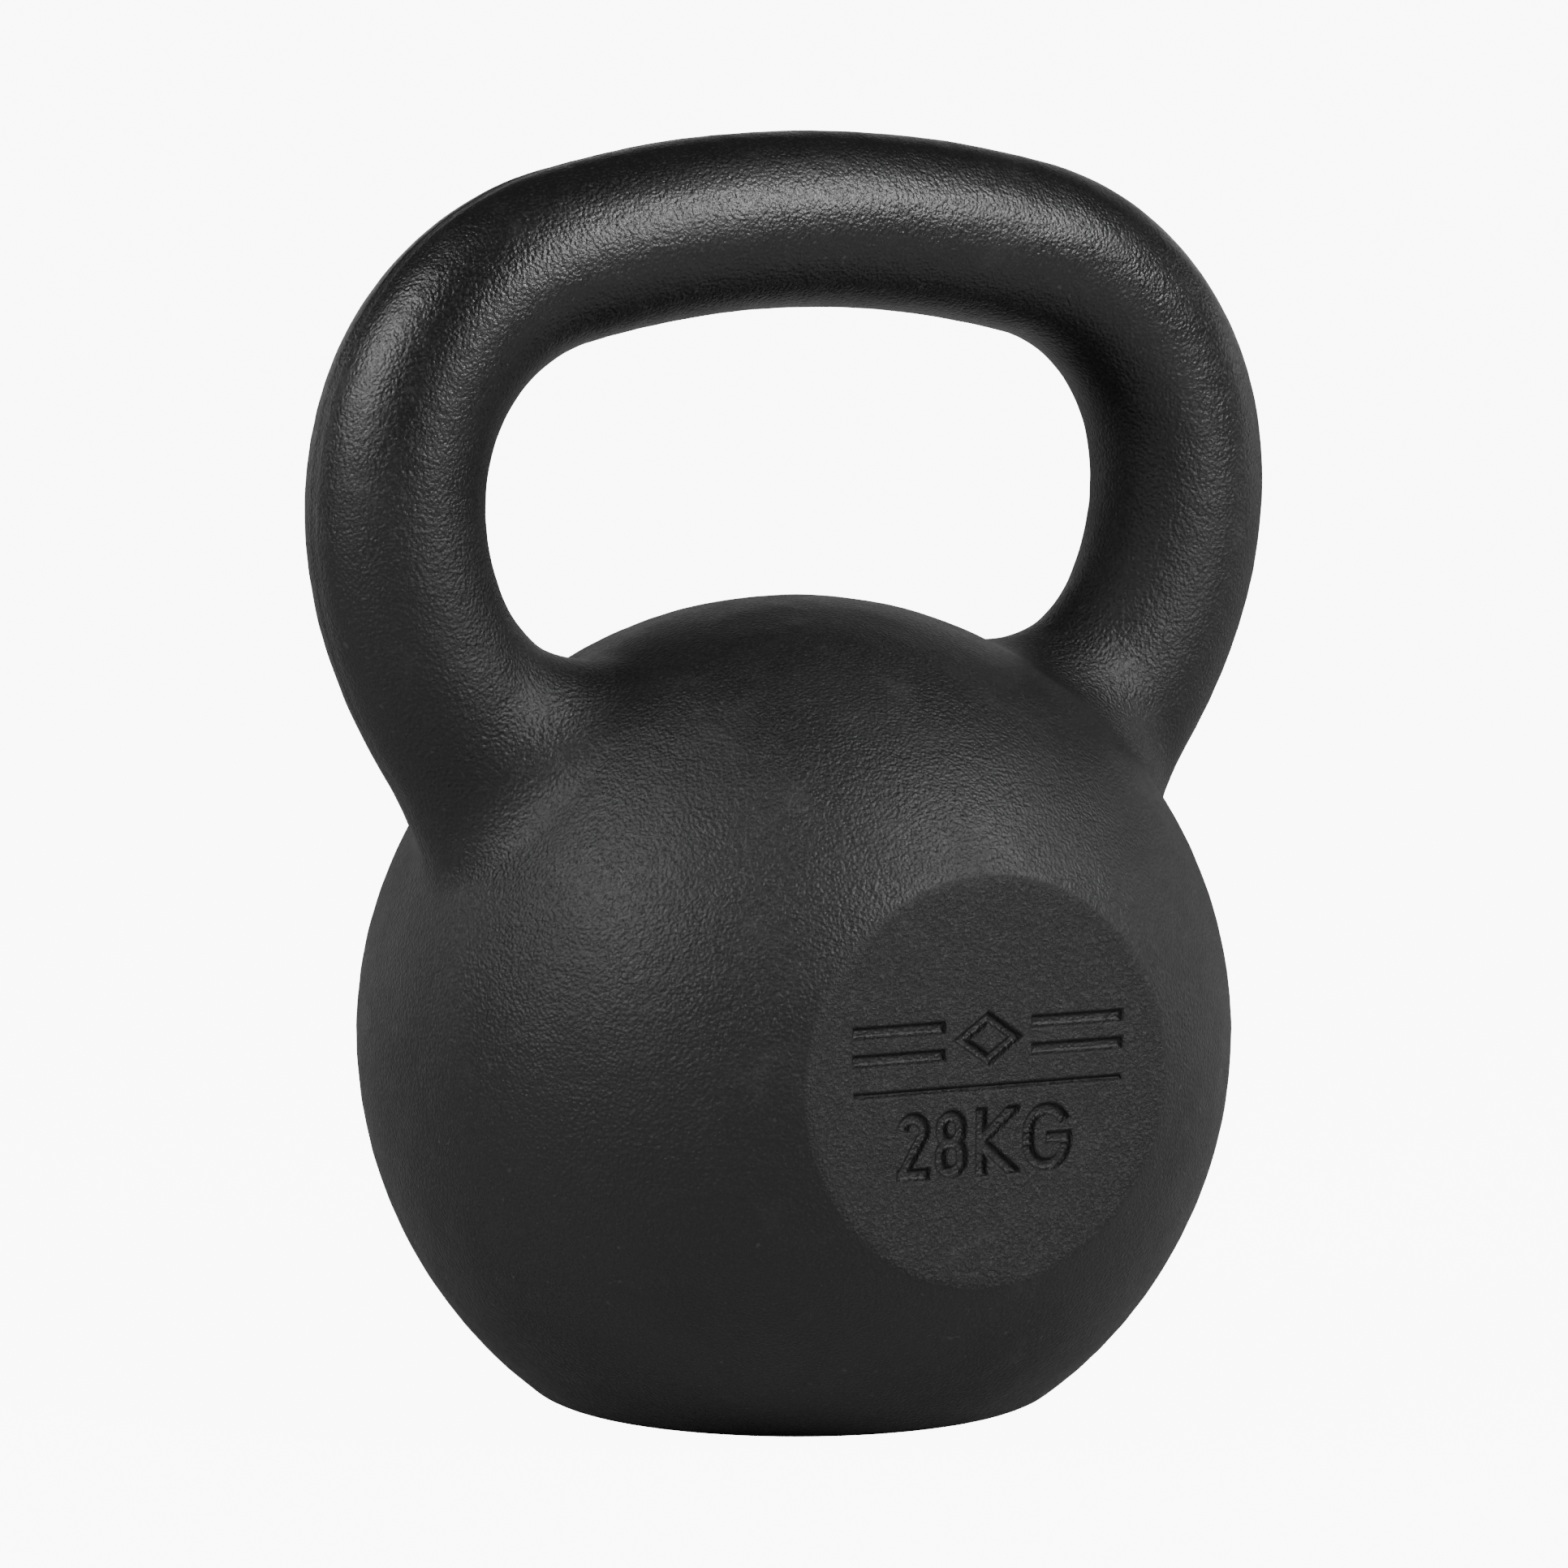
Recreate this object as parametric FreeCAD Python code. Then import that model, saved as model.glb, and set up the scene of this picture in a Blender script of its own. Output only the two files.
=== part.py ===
import FreeCAD
import Part
import math
import os

from FreeCAD import Vector

# Solid cast-iron kettlebell of 28 kg: a ball on a flat foot, with one handle.
# Millimetres and degrees. The origin is the centre of the foot, on the floor.
# +Z is up, +X is to the right of someone who faces the marked front, at -Y.
#
# The handle's centreline lies in the XZ plane. From the top centre it is a flat arc (the grip),
# a tight arc (the corner), a wider arc (the horn) and a straight run into the ball (the root).

# Ball and foot
BALL_RADIUS = 94.5
BALL_CENTRE_Z = 79.5
BELLY_RADIUS = 97.5          # the slightly fuller arc that takes over below the equator
BELLY_START = 6.6            # below the equator
FOOT_EDGE_RADIUS = 14.75

# Handle
GRIP_DIAMETER = 38.0
HANDLE_TOP_Z = 254.8         # of the centreline
GRIP_RADIUS = 228.2
GRIP_HALF_ANGLE = 14.33
CORNER_RADIUS = 51.25
CORNER_ANGLE = 63.46
HORN_RADIUS = 64.8
HORN_ANGLE = 55.34
HORN_SPLIT_ANGLE = 44.0      # where the horn gives way to the root, which belongs to the ball
ROOT_LENGTH = 51.0           # most of it is inside the ball
OUTER_FLARE = 40.0           # added to the bar's radius at the root's end, away from the window
OUTER_FLARE_POWER = 4        # growth over the length of horn and root
INNER_FLARE = 4.0            # added towards the window
SIDE_FLARE = 0.85            # added in front and behind
INNER_FLARE_POWER = 2
ROOT_SECTIONS = 16
SECTION_BLEND_DEGREE = 3
ELLIPSE_MARGIN = 0.001       # makes the first section an ellipse too, so that all are alike
INNER_FILLET = 23.0          # between root and ball, towards the window
OUTER_FILLET = 14.0

# Front facet; heights on it are counted from the ball's centre
FACET_DISTANCE = 84.4        # from the ball's centre
FACET_EDGE_RADIUS = 5.0
ENGRAVING_DEPTH = 1.2
STROKE = 2.2

# Weight figure
FIGURE_Z = -19.5
FIGURE_HEIGHT = 13.9
FIGURE_2_X = -21.4
FIGURE_8_X = -12.4
LETTER_K_X = -2.7
LETTER_G_X = 8.6
DIGIT_WIDTH = 7.3
LETTER_K_WIDTH = 8.9         # where its arms are cut off level
LETTER_G_WIDTH = 11.2
DIGIT_2_TIP = 175            # directions between which its round top runs
DIGIT_2_TAIL = -40
DIGIT_8_WAIST = 0.53         # share of the height
DIGIT_8_TAPER = 0.25
LETTER_K_OVERRUN = 1.5       # its arms are drawn this much longer, then cut off
LETTER_G_MOUTH = 25          # direction in which the round top starts

# Rule above the figure, and a lozenge between two pairs of bars above the rule
RULE_Z = -1.1
RULE_LENGTH = 63.5
RULE_WIDTH = 0.8
MOTIF_Z = 9.0
LOZENGE_WIDTH = 16.0
LOZENGE_HEIGHT = 11.0
BAR_INNER_X = 10.5
BAR_OUTER_X = 32.0
BAR_RISE = 2.9               # of each bar above or below the lozenge's centre

TOLERANCE = 0.01             # for finding edges by their place

X_AXIS = Vector(1, 0, 0)
Y_AXIS = Vector(0, 1, 0)
Z_AXIS = Vector(0, 0, 1)
ORIGIN = Vector(0, 0, 0)
BALL_CENTRE = Vector(0, 0, BALL_CENTRE_Z)


def arc_point(centre, radius, angle):
    """Point of a circle in the XZ plane, at an angle in degrees from +X towards +Z."""
    turn = math.radians(angle)
    return centre + Vector(math.cos(turn), 0, math.sin(turn)) * radius


def arc(centre, radius, start, end):
    """Edge along a circle in the XZ plane, between two angles in degrees."""
    middle = (start + end) / 2
    return Part.Arc(*[arc_point(centre, radius, a) for a in (start, middle, end)]).toShape()


def mirrored(shape):
    """The same shape on the other side of the YZ plane."""
    return shape.mirror(ORIGIN, X_AXIS)


# ---------------------------------------------------------------- ball

def plain_ball():
    """Ball with its flat foot and the foot's rounded edge, turned about the vertical axis."""
    belly_centre = arc_point(BALL_CENTRE, BALL_RADIUS - BELLY_RADIUS, -BELLY_START)
    rise = belly_centre.z - FOOT_EDGE_RADIUS
    reach = math.sqrt((BELLY_RADIUS - FOOT_EDGE_RADIUS) ** 2 - rise ** 2)
    belly_end = -math.degrees(math.atan2(rise, reach))
    edge_centre = Vector(belly_centre.x + reach, 0, FOOT_EDGE_RADIUS)
    outline = [
        arc(BALL_CENTRE, BALL_RADIUS, 90, -BELLY_START),
        arc(belly_centre, BELLY_RADIUS, -BELLY_START, belly_end),
        arc(edge_centre, FOOT_EDGE_RADIUS, belly_end, -90),
        Part.makeLine(Vector(edge_centre.x, 0, 0), ORIGIN),
        Part.makeLine(ORIGIN, arc_point(BALL_CENTRE, BALL_RADIUS, 90)),
    ]
    return Part.Face(Part.Wire(outline)).revolve(ORIGIN, Z_AXIS, 360)


# ---------------------------------------------------------------- handle

def forward(heading):
    """Direction of the centreline; a heading is in degrees below +X."""
    slope = math.radians(heading)
    return Vector(math.cos(slope), 0, -math.sin(slope))


def outward(heading):
    """Direction across the centreline, away from the window."""
    slope = math.radians(heading)
    return Vector(math.sin(slope), 0, math.cos(slope))


def along(point, heading, radius, angle):
    """Point and heading at the end of an arc of the centreline."""
    end = heading + angle
    return point + (outward(end) - outward(heading)) * radius, end


def round_bar(point, heading, radius, angle):
    """A length of round bar along one arc of the centreline."""
    section = Part.Circle(point, forward(heading), GRIP_DIAMETER / 2)
    pivot = point - outward(heading) * radius
    return Part.Face(Part.Wire(section.toShape())).revolve(pivot, Y_AXIS, angle)


def horn_section(share):
    """Elliptical outline of the horn and root, which flare towards the ball; share is 0 to 1."""
    arc_length = HORN_RADIUS * math.radians(HORN_ANGLE)
    length = share * (arc_length + ROOT_LENGTH)
    turned = math.degrees(min(length, arc_length) / HORN_RADIUS)
    point, heading = along(HORN_START, HORN_HEADING, HORN_RADIUS, turned)
    point = point + forward(heading) * max(length - arc_length, 0)
    radius = GRIP_DIAMETER / 2
    outer_reach = radius + OUTER_FLARE * share ** OUTER_FLARE_POWER + ELLIPSE_MARGIN
    inner_reach = radius + INNER_FLARE * share ** INNER_FLARE_POWER
    side_reach = radius + SIDE_FLARE * share ** INNER_FLARE_POWER
    outer = point + outward(heading) * outer_reach
    middle = outer - outward(heading) * (outer_reach + inner_reach) / 2
    back = middle + Y_AXIS * side_reach
    return Part.Wire(Part.Ellipse(outer, back, middle).toShape())


def horn_and_root():
    """The right horn and its root, as one bar that ends inside the ball."""
    sections = [horn_section(i / (ROOT_SECTIONS - 1)) for i in range(ROOT_SECTIONS)]
    return Part.makeLoft(sections, True, False, False, SECTION_BLEND_DEGREE)


GRIP_START, GRIP_HEADING = along(Vector(0, 0, HANDLE_TOP_Z), 0, GRIP_RADIUS, -GRIP_HALF_ANGLE)
CORNER_START, CORNER_HEADING = along(Vector(0, 0, HANDLE_TOP_Z), 0, GRIP_RADIUS, GRIP_HALF_ANGLE)
HORN_START, HORN_HEADING = along(CORNER_START, CORNER_HEADING, CORNER_RADIUS, CORNER_ANGLE)
SPLIT_POINT, SPLIT_HEADING = along(HORN_START, HORN_HEADING, HORN_RADIUS, HORN_SPLIT_ANGLE)


def filleted_root(solid):
    """Round the root into the ball: wide towards the window, narrower outside."""
    document = FreeCAD.newDocument("kettlebell")
    sharp = document.addObject("Part::Feature", "sharp")
    sharp.Shape = solid
    root_x = SPLIT_POINT.x - INNER_FILLET
    edges = []
    for number, edge in enumerate(sharp.Shape.Edges, 1):
        ends = [edge.valueAt(edge.FirstParameter), edge.valueAt(edge.LastParameter)]
        middle = edge.valueAt((edge.FirstParameter + edge.LastParameter) / 2)
        on_ball = abs((middle - BALL_CENTRE).Length - BALL_RADIUS) < TOLERANCE
        if on_ball and abs(middle.x - root_x) < GRIP_DIAMETER / 2 and middle.z > BALL_CENTRE_Z:
            radii = [INNER_FILLET if end.x < root_x else OUTER_FILLET for end in ends]
            edges.append((number, *radii))
    fillet = document.addObject("Part::Fillet", "fillet")
    fillet.Base = sharp
    fillet.Edges = edges
    document.recompute()
    return fillet.Shape


def right_half():
    """Right half of the ball with the right root and horn."""
    reach = 2 * BALL_RADIUS
    right_side = Part.makeBox(reach, 2 * reach, 2 * reach, Vector(0, -reach, -reach / 2))
    solid = plain_ball().common(right_side).fuse(horn_and_root()).removeSplitter()
    return filleted_root(solid.Solids[0])


# ---------------------------------------------------------------- front facet

def with_facet(solid):
    """Plane off the ball's front and round the rim of the flat."""
    size = 2 * BALL_RADIUS
    corner = Vector(-size / 2, -FACET_DISTANCE - size, BALL_CENTRE_Z - size / 2)
    flat = solid.cut(Part.makeBox(size, size, size, corner))
    rim = [e for e in flat.Edges if abs(e.BoundBox.YMax + FACET_DISTANCE) < TOLERANCE]
    return flat.makeFillet(FACET_EDGE_RADIUS, rim)


def facet_point(x, z):
    """Point on the flat, from its middle line and from the height of the ball's centre."""
    return Vector(x, -FACET_DISTANCE, BALL_CENTRE_Z + z)


def groove(outline):
    """Flat-bottomed groove, of the engraving's depth, under an outline on the flat."""
    return outline.extrude(Y_AXIS * ENGRAVING_DEPTH)


def bow(x, z, radius, start, end):
    """Edge along a circle on the flat, between two angles in degrees."""
    return arc(facet_point(x, z), radius, start, end)


def lines(*points):
    """Connected straight edges on the flat."""
    corners = [facet_point(x, z) for x, z in points]
    return [Part.makeLine(a, b) for a, b in zip(corners, corners[1:])]


def bent_stroke(edges):
    """Groove of the stroke's width along a bent path, with round ends."""
    path = Part.Wire(edges)
    return groove(path.makeOffset2D(STROKE / 2, join=0, fill=True, openResult=False))


def block(left, right, low, high):
    """Rectangular groove between four limits on the flat."""
    return Part.makeBox(right - left, ENGRAVING_DEPTH, high - low, facet_point(left, low))


def round_loop(x, low, high, radius):
    """Closed groove around a tall loop with half-round ends."""
    grooves = []
    for r in (radius + STROKE / 2, radius - STROKE / 2):
        right, left = lines((x + r, low), (x + r, high)), lines((x - r, high), (x - r, low))
        ends = bow(x, high, r, 0, 180), bow(x, low, r, 180, 360)
        grooves.append(groove(Part.Face(Part.Wire([right[0], ends[0], left[0], ends[1]]))))
    return grooves[0].cut(grooves[1])


def figure_2(left, low, high):
    """A round top, a slanting back and a straight foot."""
    radius = (DIGIT_WIDTH - STROKE) / 2
    half = STROKE / 2
    tail = math.radians(DIGIT_2_TAIL)
    top = bow(left + radius, high - radius, radius, DIGIT_2_TIP, DIGIT_2_TAIL)
    leave = (left + radius * (1 + math.cos(tail)), high - radius * (1 - math.sin(tail)))
    foot = block(left - half, left - half + DIGIT_WIDTH, low - half, low + half)
    return bent_stroke([top] + lines(leave, (left, low))).fuse(foot)


def figure_8(left, low, high):
    """Two round loops that share a stroke, the lower one a little taller and wider."""
    middle = left + (DIGIT_WIDTH - STROKE) / 2
    waist = low + DIGIT_8_WAIST * (high - low)
    lower = (DIGIT_WIDTH - STROKE) / 2
    upper = lower - DIGIT_8_TAPER
    lower_loop = round_loop(middle, low + lower, waist - lower, lower)
    return lower_loop.fuse(round_loop(middle, waist + upper, high - upper, upper))


def letter_k(left, low, high):
    """An upright and two slanting arms that meet it halfway, all cut off level."""
    run = (LETTER_K_WIDTH - STROKE) * LETTER_K_OVERRUN
    waist, half = (low + high) / 2, STROKE / 2
    rise = (high - low) / 2 * LETTER_K_OVERRUN
    arms = bent_stroke(lines((left + run, waist + rise), (left, waist), (left + run, waist - rise)))
    limits = block(left, left + run, low - half, high + half)
    return arms.common(limits).fuse(block(left - half, left + half, low - half, high + half))


def letter_g(left, low, high):
    """An open tall loop with a short bar that points inwards."""
    radius = (LETTER_G_WIDTH - STROKE) / 2
    x, half = left + radius, STROKE / 2
    bar_z = low + radius + half
    top = bow(x, high - radius, radius, LETTER_G_MOUTH, 180)
    bottom = bow(x, low + radius, radius, 180, 360)
    side = lines((left, high - radius), (left, low + radius))
    rise = lines((x + radius, low + radius), (x + radius, bar_z))
    bar = block(x, x + radius + half, bar_z - half, bar_z + half)
    return bent_stroke([top] + side + [bottom] + rise).fuse(bar)


def lozenge(half_width, half_height):
    """Solid four-cornered groove with its corners at the sides, the top and the bottom."""
    right, top = (half_width, MOTIF_Z), (0, MOTIF_Z + half_height)
    left, bottom = (-half_width, MOTIF_Z), (0, MOTIF_Z - half_height)
    return groove(Part.Face(Part.Wire(lines(right, top, left, bottom, right))))


def motif():
    """A lozenge-shaped ring between two pairs of bars."""
    inner_share = 1 - 2 * STROKE / LOZENGE_HEIGHT
    outer = lozenge(LOZENGE_WIDTH / 2, LOZENGE_HEIGHT / 2)
    grooves = [outer.cut(lozenge(LOZENGE_WIDTH / 2 * inner_share, LOZENGE_HEIGHT / 2 * inner_share))]
    for z in (MOTIF_Z - BAR_RISE, MOTIF_Z + BAR_RISE):
        low, high = z - STROKE / 2, z + STROKE / 2
        grooves.append(block(BAR_INNER_X, BAR_OUTER_X, low, high))
        grooves.append(block(-BAR_OUTER_X, -BAR_INNER_X, low, high))
    return grooves


def weight_figure():
    """The kettlebell's weight, cast into the flat."""
    low = FIGURE_Z + STROKE / 2
    high = FIGURE_Z + FIGURE_HEIGHT - STROKE / 2
    places = (
        (figure_2, FIGURE_2_X),
        (figure_8, FIGURE_8_X),
        (letter_k, LETTER_K_X),
        (letter_g, LETTER_G_X),
    )
    return [draw(x + STROKE / 2, low, high) for draw, x in places]


def engraving():
    """Everything that is sunk into the flat."""
    half_length, half_width = RULE_LENGTH / 2, RULE_WIDTH / 2
    rule = block(-half_length, half_length, RULE_Z - half_width, RULE_Z + half_width)
    return motif() + [rule] + weight_figure()


# ---------------------------------------------------------------- the named regions of the casting

def bell_and_horns():
    """The ball with both roots and horns, cut at the planes where each horn leaves its root."""
    right = right_half()
    whole = right.fuse(mirrored(right)).removeSplitter().Solids[0]
    marked = with_facet(whole).cut(engraving())
    across = Part.Circle(SPLIT_POINT, forward(SPLIT_HEADING), GRIP_DIAMETER)
    plane = Part.Face(Part.Wire(across.toShape()))
    pieces = marked.generalFuse([plane, mirrored(plane)])[0].Solids
    pieces.sort(key=lambda piece: piece.CenterOfMass.x)
    left_horn, bell, right_horn = pieces
    return bell, left_horn, right_horn


def build():
    """Write each region to its own file."""
    bell, left_horn, right_horn = bell_and_horns()
    right_corner = round_bar(CORNER_START, CORNER_HEADING, CORNER_RADIUS, CORNER_ANGLE)
    regions = {
        "bell": bell,
        "left_horn": left_horn,
        "right_horn": right_horn,
        "left_corner": mirrored(right_corner),
        "right_corner": right_corner,
        "grip": round_bar(GRIP_START, GRIP_HEADING, GRIP_RADIUS, 2 * GRIP_HALF_ANGLE),
    }
    os.makedirs("parts", exist_ok=True)
    for name, shape in regions.items():
        shape.exportStep(f"parts/{name}.step")
        print(name, shape.isValid(), len(shape.Solids), round(shape.Volume), "mm3")
    volume = sum(shape.Volume for shape in regions.values())
    print("volume", round(volume), "mm3")


build()
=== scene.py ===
import math

import bmesh
import bpy
import numpy as np
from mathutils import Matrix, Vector


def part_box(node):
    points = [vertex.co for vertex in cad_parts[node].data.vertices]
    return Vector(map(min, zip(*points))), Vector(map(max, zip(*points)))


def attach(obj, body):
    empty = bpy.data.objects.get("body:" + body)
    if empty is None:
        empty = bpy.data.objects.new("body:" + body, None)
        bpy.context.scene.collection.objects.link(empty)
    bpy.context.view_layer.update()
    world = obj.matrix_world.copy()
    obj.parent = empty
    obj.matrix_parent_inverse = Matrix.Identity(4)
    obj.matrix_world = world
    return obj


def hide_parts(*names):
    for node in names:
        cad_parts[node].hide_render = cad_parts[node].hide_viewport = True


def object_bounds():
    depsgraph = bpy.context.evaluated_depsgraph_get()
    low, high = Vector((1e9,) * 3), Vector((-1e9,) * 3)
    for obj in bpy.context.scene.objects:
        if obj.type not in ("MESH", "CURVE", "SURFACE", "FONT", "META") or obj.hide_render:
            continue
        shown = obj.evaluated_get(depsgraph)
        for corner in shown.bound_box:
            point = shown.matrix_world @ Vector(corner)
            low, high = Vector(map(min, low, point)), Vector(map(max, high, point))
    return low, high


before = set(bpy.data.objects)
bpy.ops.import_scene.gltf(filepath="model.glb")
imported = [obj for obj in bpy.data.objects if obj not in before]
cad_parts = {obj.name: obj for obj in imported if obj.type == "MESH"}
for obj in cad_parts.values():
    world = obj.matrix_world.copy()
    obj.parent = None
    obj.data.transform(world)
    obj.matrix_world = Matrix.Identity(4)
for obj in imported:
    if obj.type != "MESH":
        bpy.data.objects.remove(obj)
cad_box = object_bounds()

# A cast-iron kettlebell under a black textured powder coat.
# Shapes are worked out in millimetres, in the frame of the CAD model, and stored in metres.
# Every visible piece is a fine mesh pulled onto one smooth surface, so pieces meet unseen.
MM = 0.001


def box_mm(node):
    """Lowest and highest corner of a CAD node, in millimetres."""
    low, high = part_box(node)
    return np.array(low) / MM, np.array(high) / MM


bell_low, bell_high = box_mm("bell")
_, grip_high = box_mm("grip")

# Ball and foot
BALL_RADIUS = bell_high[1]
BALL_Z = bell_high[2] - BALL_RADIUS
BELLY_RADIUS = 97.5
BELLY_START = math.radians(-6.6)
FOOT_EDGE_RADIUS = 14.75

# Front facet; heights on it are counted from the ball's centre
FACET_DISTANCE = -bell_low[1]
FACET_EDGE_RADIUS = 5.0

# Handle: the centreline's arcs as radius and angle, from the top centre, then a straight run
GRIP_RADIUS = grip_high[1]
HANDLE_TOP_Z = grip_high[2] - GRIP_RADIUS
ARC_RADII = (228.2, 51.25, 64.8)
ARC_ANGLES = (14.33, 63.46, 55.34)
HORN_SPLIT_ANGLE = 44.0
ROOT_LENGTH = 51.0
OUTER_FLARE, OUTER_FLARE_POWER = 40.0, 4
INNER_FLARE, SIDE_FLARE, INNER_FLARE_POWER = 4.0, 0.85, 2

# Fillets between handle and ball
INNER_FILLET, OUTER_FILLET = 23.0, 14.0
VALLEY_REACH = 1.5           # a fillet ends within this many radii of both surfaces

# How gradients are measured
BAR_STEP = 3.0               # wide enough to smooth the fillets where the horn's arc ends
SURFACE_STEP = 0.4
JUMP_SLOPE = 3.0             # a steeper change of distance means that the centreline ends there
FAR = 1e9                    # distance to a centreline that has no place near by
TINY = 1e-9
SMALL = 1e-6
PULL_ROUNDS = 4

# Engraving
ENGRAVING_DEPTH = 1.2
STROKE = 2.2
WALL = 1.15                  # width of a groove's sloping wall, softened by the coat
RULE_DEPTH = 1.1
FIGURE_LOW, FIGURE_HIGH = -19.5 + STROKE / 2, -5.6 - STROKE / 2
DIGIT_WIDTH, LETTER_K_WIDTH, LETTER_G_WIDTH = 7.3 - STROKE, 8.9 - STROKE, 11.2 - STROKE
DIGIT_2_X, DIGIT_8_X, LETTER_K_X, LETTER_G_X = (x + STROKE / 2 for x in (-21.4, -12.4, -2.7, 8.6))
RULE_Z, RULE_HALF_LENGTH, RULE_WIDTH = -1.1, 31.75, 0.8
MOTIF_Z, LOZENGE_HALF_WIDTH, LOZENGE_HALF_HEIGHT = 9.0, 8.0, 5.5
BAR_INNER_X, BAR_OUTER_X, BAR_RISE = 10.5, 32.0, 2.9
DIGIT_2_TAIL, DIGIT_2_TIP = -40, 175         # where its bow starts and ends, in degrees
DIGIT_8_WAIST = 0.53         # share of the height
DIGIT_8_UPPER_CUT = 0.25     # the upper loop's radius is smaller by this much
LETTER_K_OVERRUN = 1.5       # the arms run on this far, and are cut square at top and foot
LETTER_G_MOUTH = 25          # where its upper bow starts, in degrees

# Traces of the casting
UNEVENNESS = 0.16            # most that the surface lies below the ideal one
UNEVEN_WAVELENGTHS = (14.0, 40.0)
WAVES_OF_EACH = 9
WAVE_SEED = 7
MEAN_SHARE, SHARE_SPREAD = 0.5, 0.35         # of that most, at the waves' middle and crests
FACET_FADE, FLOOR_FADE = 3.0, 4.0            # distance over which the waves fade in
SEAM_DEPTH = 0.13            # the parting line was ground to a shallow flat band
SEAM_HALF_WIDTH = 1.3
SEAM_EDGE = 0.5
SEAM_REACH = 60.0            # farthest that its band lies from the centreline
SEAM_END_Z, SEAM_RUN_OUT = 105.0, 20.0       # where it ends, and the height over which it fades

# Mesh sizes
BELL_VOXEL = 1.7
RELAX_ROUNDS = 6
RING_POINTS = 132
RING_STEP = 1.1
SEAM_CROWDING = 0.55         # how much denser a ring's points lie at the parting band
STUB_REACH, STUB_SIDES = 10.0, 48
MOST_CORNERS = 8             # a face with more is a flat end

# The relief: a fine rectangular mesh of the engraving, within the facet
FACET_CELL = 0.25
RELIEF_HALF_WIDTH, RELIEF_LOW, RELIEF_HIGH = 33.5, -21.5, 16.5
FLAT_REACH = 0.5             # how far behind the facet a vertex still belongs to it
RELIEF_SLACK = 0.01

# Powder coat. A noise is given by its size in millimetres, detail and roughness; a range by
# where its ramp starts and ends; a pair of roughnesses is for the two kinds of patches.
WRINKLES, BLISTER_SIZE, BLISTER_SMOOTHNESS, SAND = (0.66, 2, 0.6), 0.84, 0.6, (0.7, 2, 0.7)
PATCHES, DUST, SPECKS = (26, 4, 0.6), (9, 5, 0.65), (1.6, 1, 0.3)
PATCH_RANGE, DUST_RANGE, SPECK_RANGE = (0.42, 0.62), (0.50, 0.75), (0.74, 0.80)
# The first range picks the crests of the grain that are coloured lighter as a painted glint.
PAINTED_GLINT_RANGE, WRINKLE_RANGE = (0.52, 0.68), (0.3, 0.7)
WRINKLE_SHARE, BLISTER_SHARE, SAND_SHARE = 0.9, 0.55, 1.9
HANDLE_PEEL = 0.62           # share of the wrinkles' height on the handle
GRAIN_HEIGHT = 0.00034       # metres
BALL_ROUGHNESS, HANDLE_ROUGHNESS, FACET_ROUGHNESS = (0.47, 0.54), (0.32, 0.37), 0.55
WRINKLE_ROUGHNESS, FOOT_ROUGHNESS = 0.05, 0.06
# How far dust, specks and the painted glint on the grain's crests lighten the coat; the glint is a
# painted highlight, on the ball and handle, and stronger on the facet's sand.
DUST_LIGHT, SPECK_LIGHT, BALL_PAINTED_GLINT, FACET_PAINTED_GLINT = 0.25, 0.5, 0.16, 0.50
DARK_COLOUR, LIGHT_COLOUR = (0.0043, 0.0043, 0.0045, 1), (0.038, 0.038, 0.037, 1)
SPECULAR_LEVEL = 0.40
HANDLE_FADE = (180, 235)     # heights between which the ball's coat turns into the handle's
FACET_FADE_DEPTHS = (0.2, 0.8)   # depths below the facet between which its sand ends
FOOT_FADE_TOP = 60           # height up to which the foot is a little rougher
MIX_FACTOR, MIX_FIRST, MIX_SECOND, MIX_RESULT = 0, 6, 7, 2   # a colour Mix node's sockets

# Camera, found from the photo together with the proportions; metres, but lens and sensor in mm
CAMERA_AZIMUTH, CAMERA_ELEVATION = math.radians(-28.56), math.radians(6.3)
CAMERA_ROLL = math.radians(0.19)
CAMERA_DISTANCE = 1.782
CAMERA_LENS, SENSOR_WIDTH = 190.1, 36.0
CLIP_END = 100
LOOK_AT = Vector((-0.0026, 0, 0.4872 * cad_box[1][2]))

# Room: strengths of the world for reflections and for the camera, and of the floor's glow
DIM_ROOM, PALE_ROOM = 0.05, 10.0
FLOOR_GLOW = 9.4
FLOOR_REACH, FLOOR_GREY = 40, 0.45           # reach in metres

# Softboxes: name; direction as shares to the right, up and towards the camera; distance in
# metres; width and height; power in watts
SOFTBOXES = (
    ("left_box", (-0.72, 0.54, 0.43), 1.2, (0.42, 0.60), 14),
    ("right_box", (0.71, 0.50, 0.49), 1.2, (0.20, 0.56), 18),
    ("overhead_box", (0.45, 0.86, 0.20), 1.2, (0.5, 0.4), 1.2),
    ("front_fill", (-0.70, -0.02, 0.70), 1.5, (0.8, 0.8), 3.3),
    ("right_fill", (0.58, 0.04, 0.81), 1.4, (0.25, 0.6), 2.6),
    ("left_rim", (-0.74, 0.06, -0.67), 1.1, (0.12, 0.8), 1.3),
    ("right_rim", (0.80, 0.06, -0.60), 1.1, (0.14, 0.8), 1.7),
    ("back_panel", (0.0, 0.36, -0.93), 1.4, (1.6, 0.5), 2.2),
)


# ---------------------------------------------------------------- centreline of the handle

def outward(heading):
    """Unit vector in XZ across the centreline, away from the window; heading in radians below +X."""
    return np.array([math.sin(heading), math.cos(heading)])


def centreline():
    """For each arc: pivot, radius, first and last heading; then the straight run's start."""
    point, heading, arcs = np.array([0.0, HANDLE_TOP_Z]), 0.0, []
    for radius, angle in zip(ARC_RADII, ARC_ANGLES):
        pivot = point - outward(heading) * radius
        end = heading + math.radians(angle)
        arcs.append((pivot, radius, heading, end))
        point, heading = pivot + outward(end) * radius, end
    return arcs, point, heading


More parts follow.
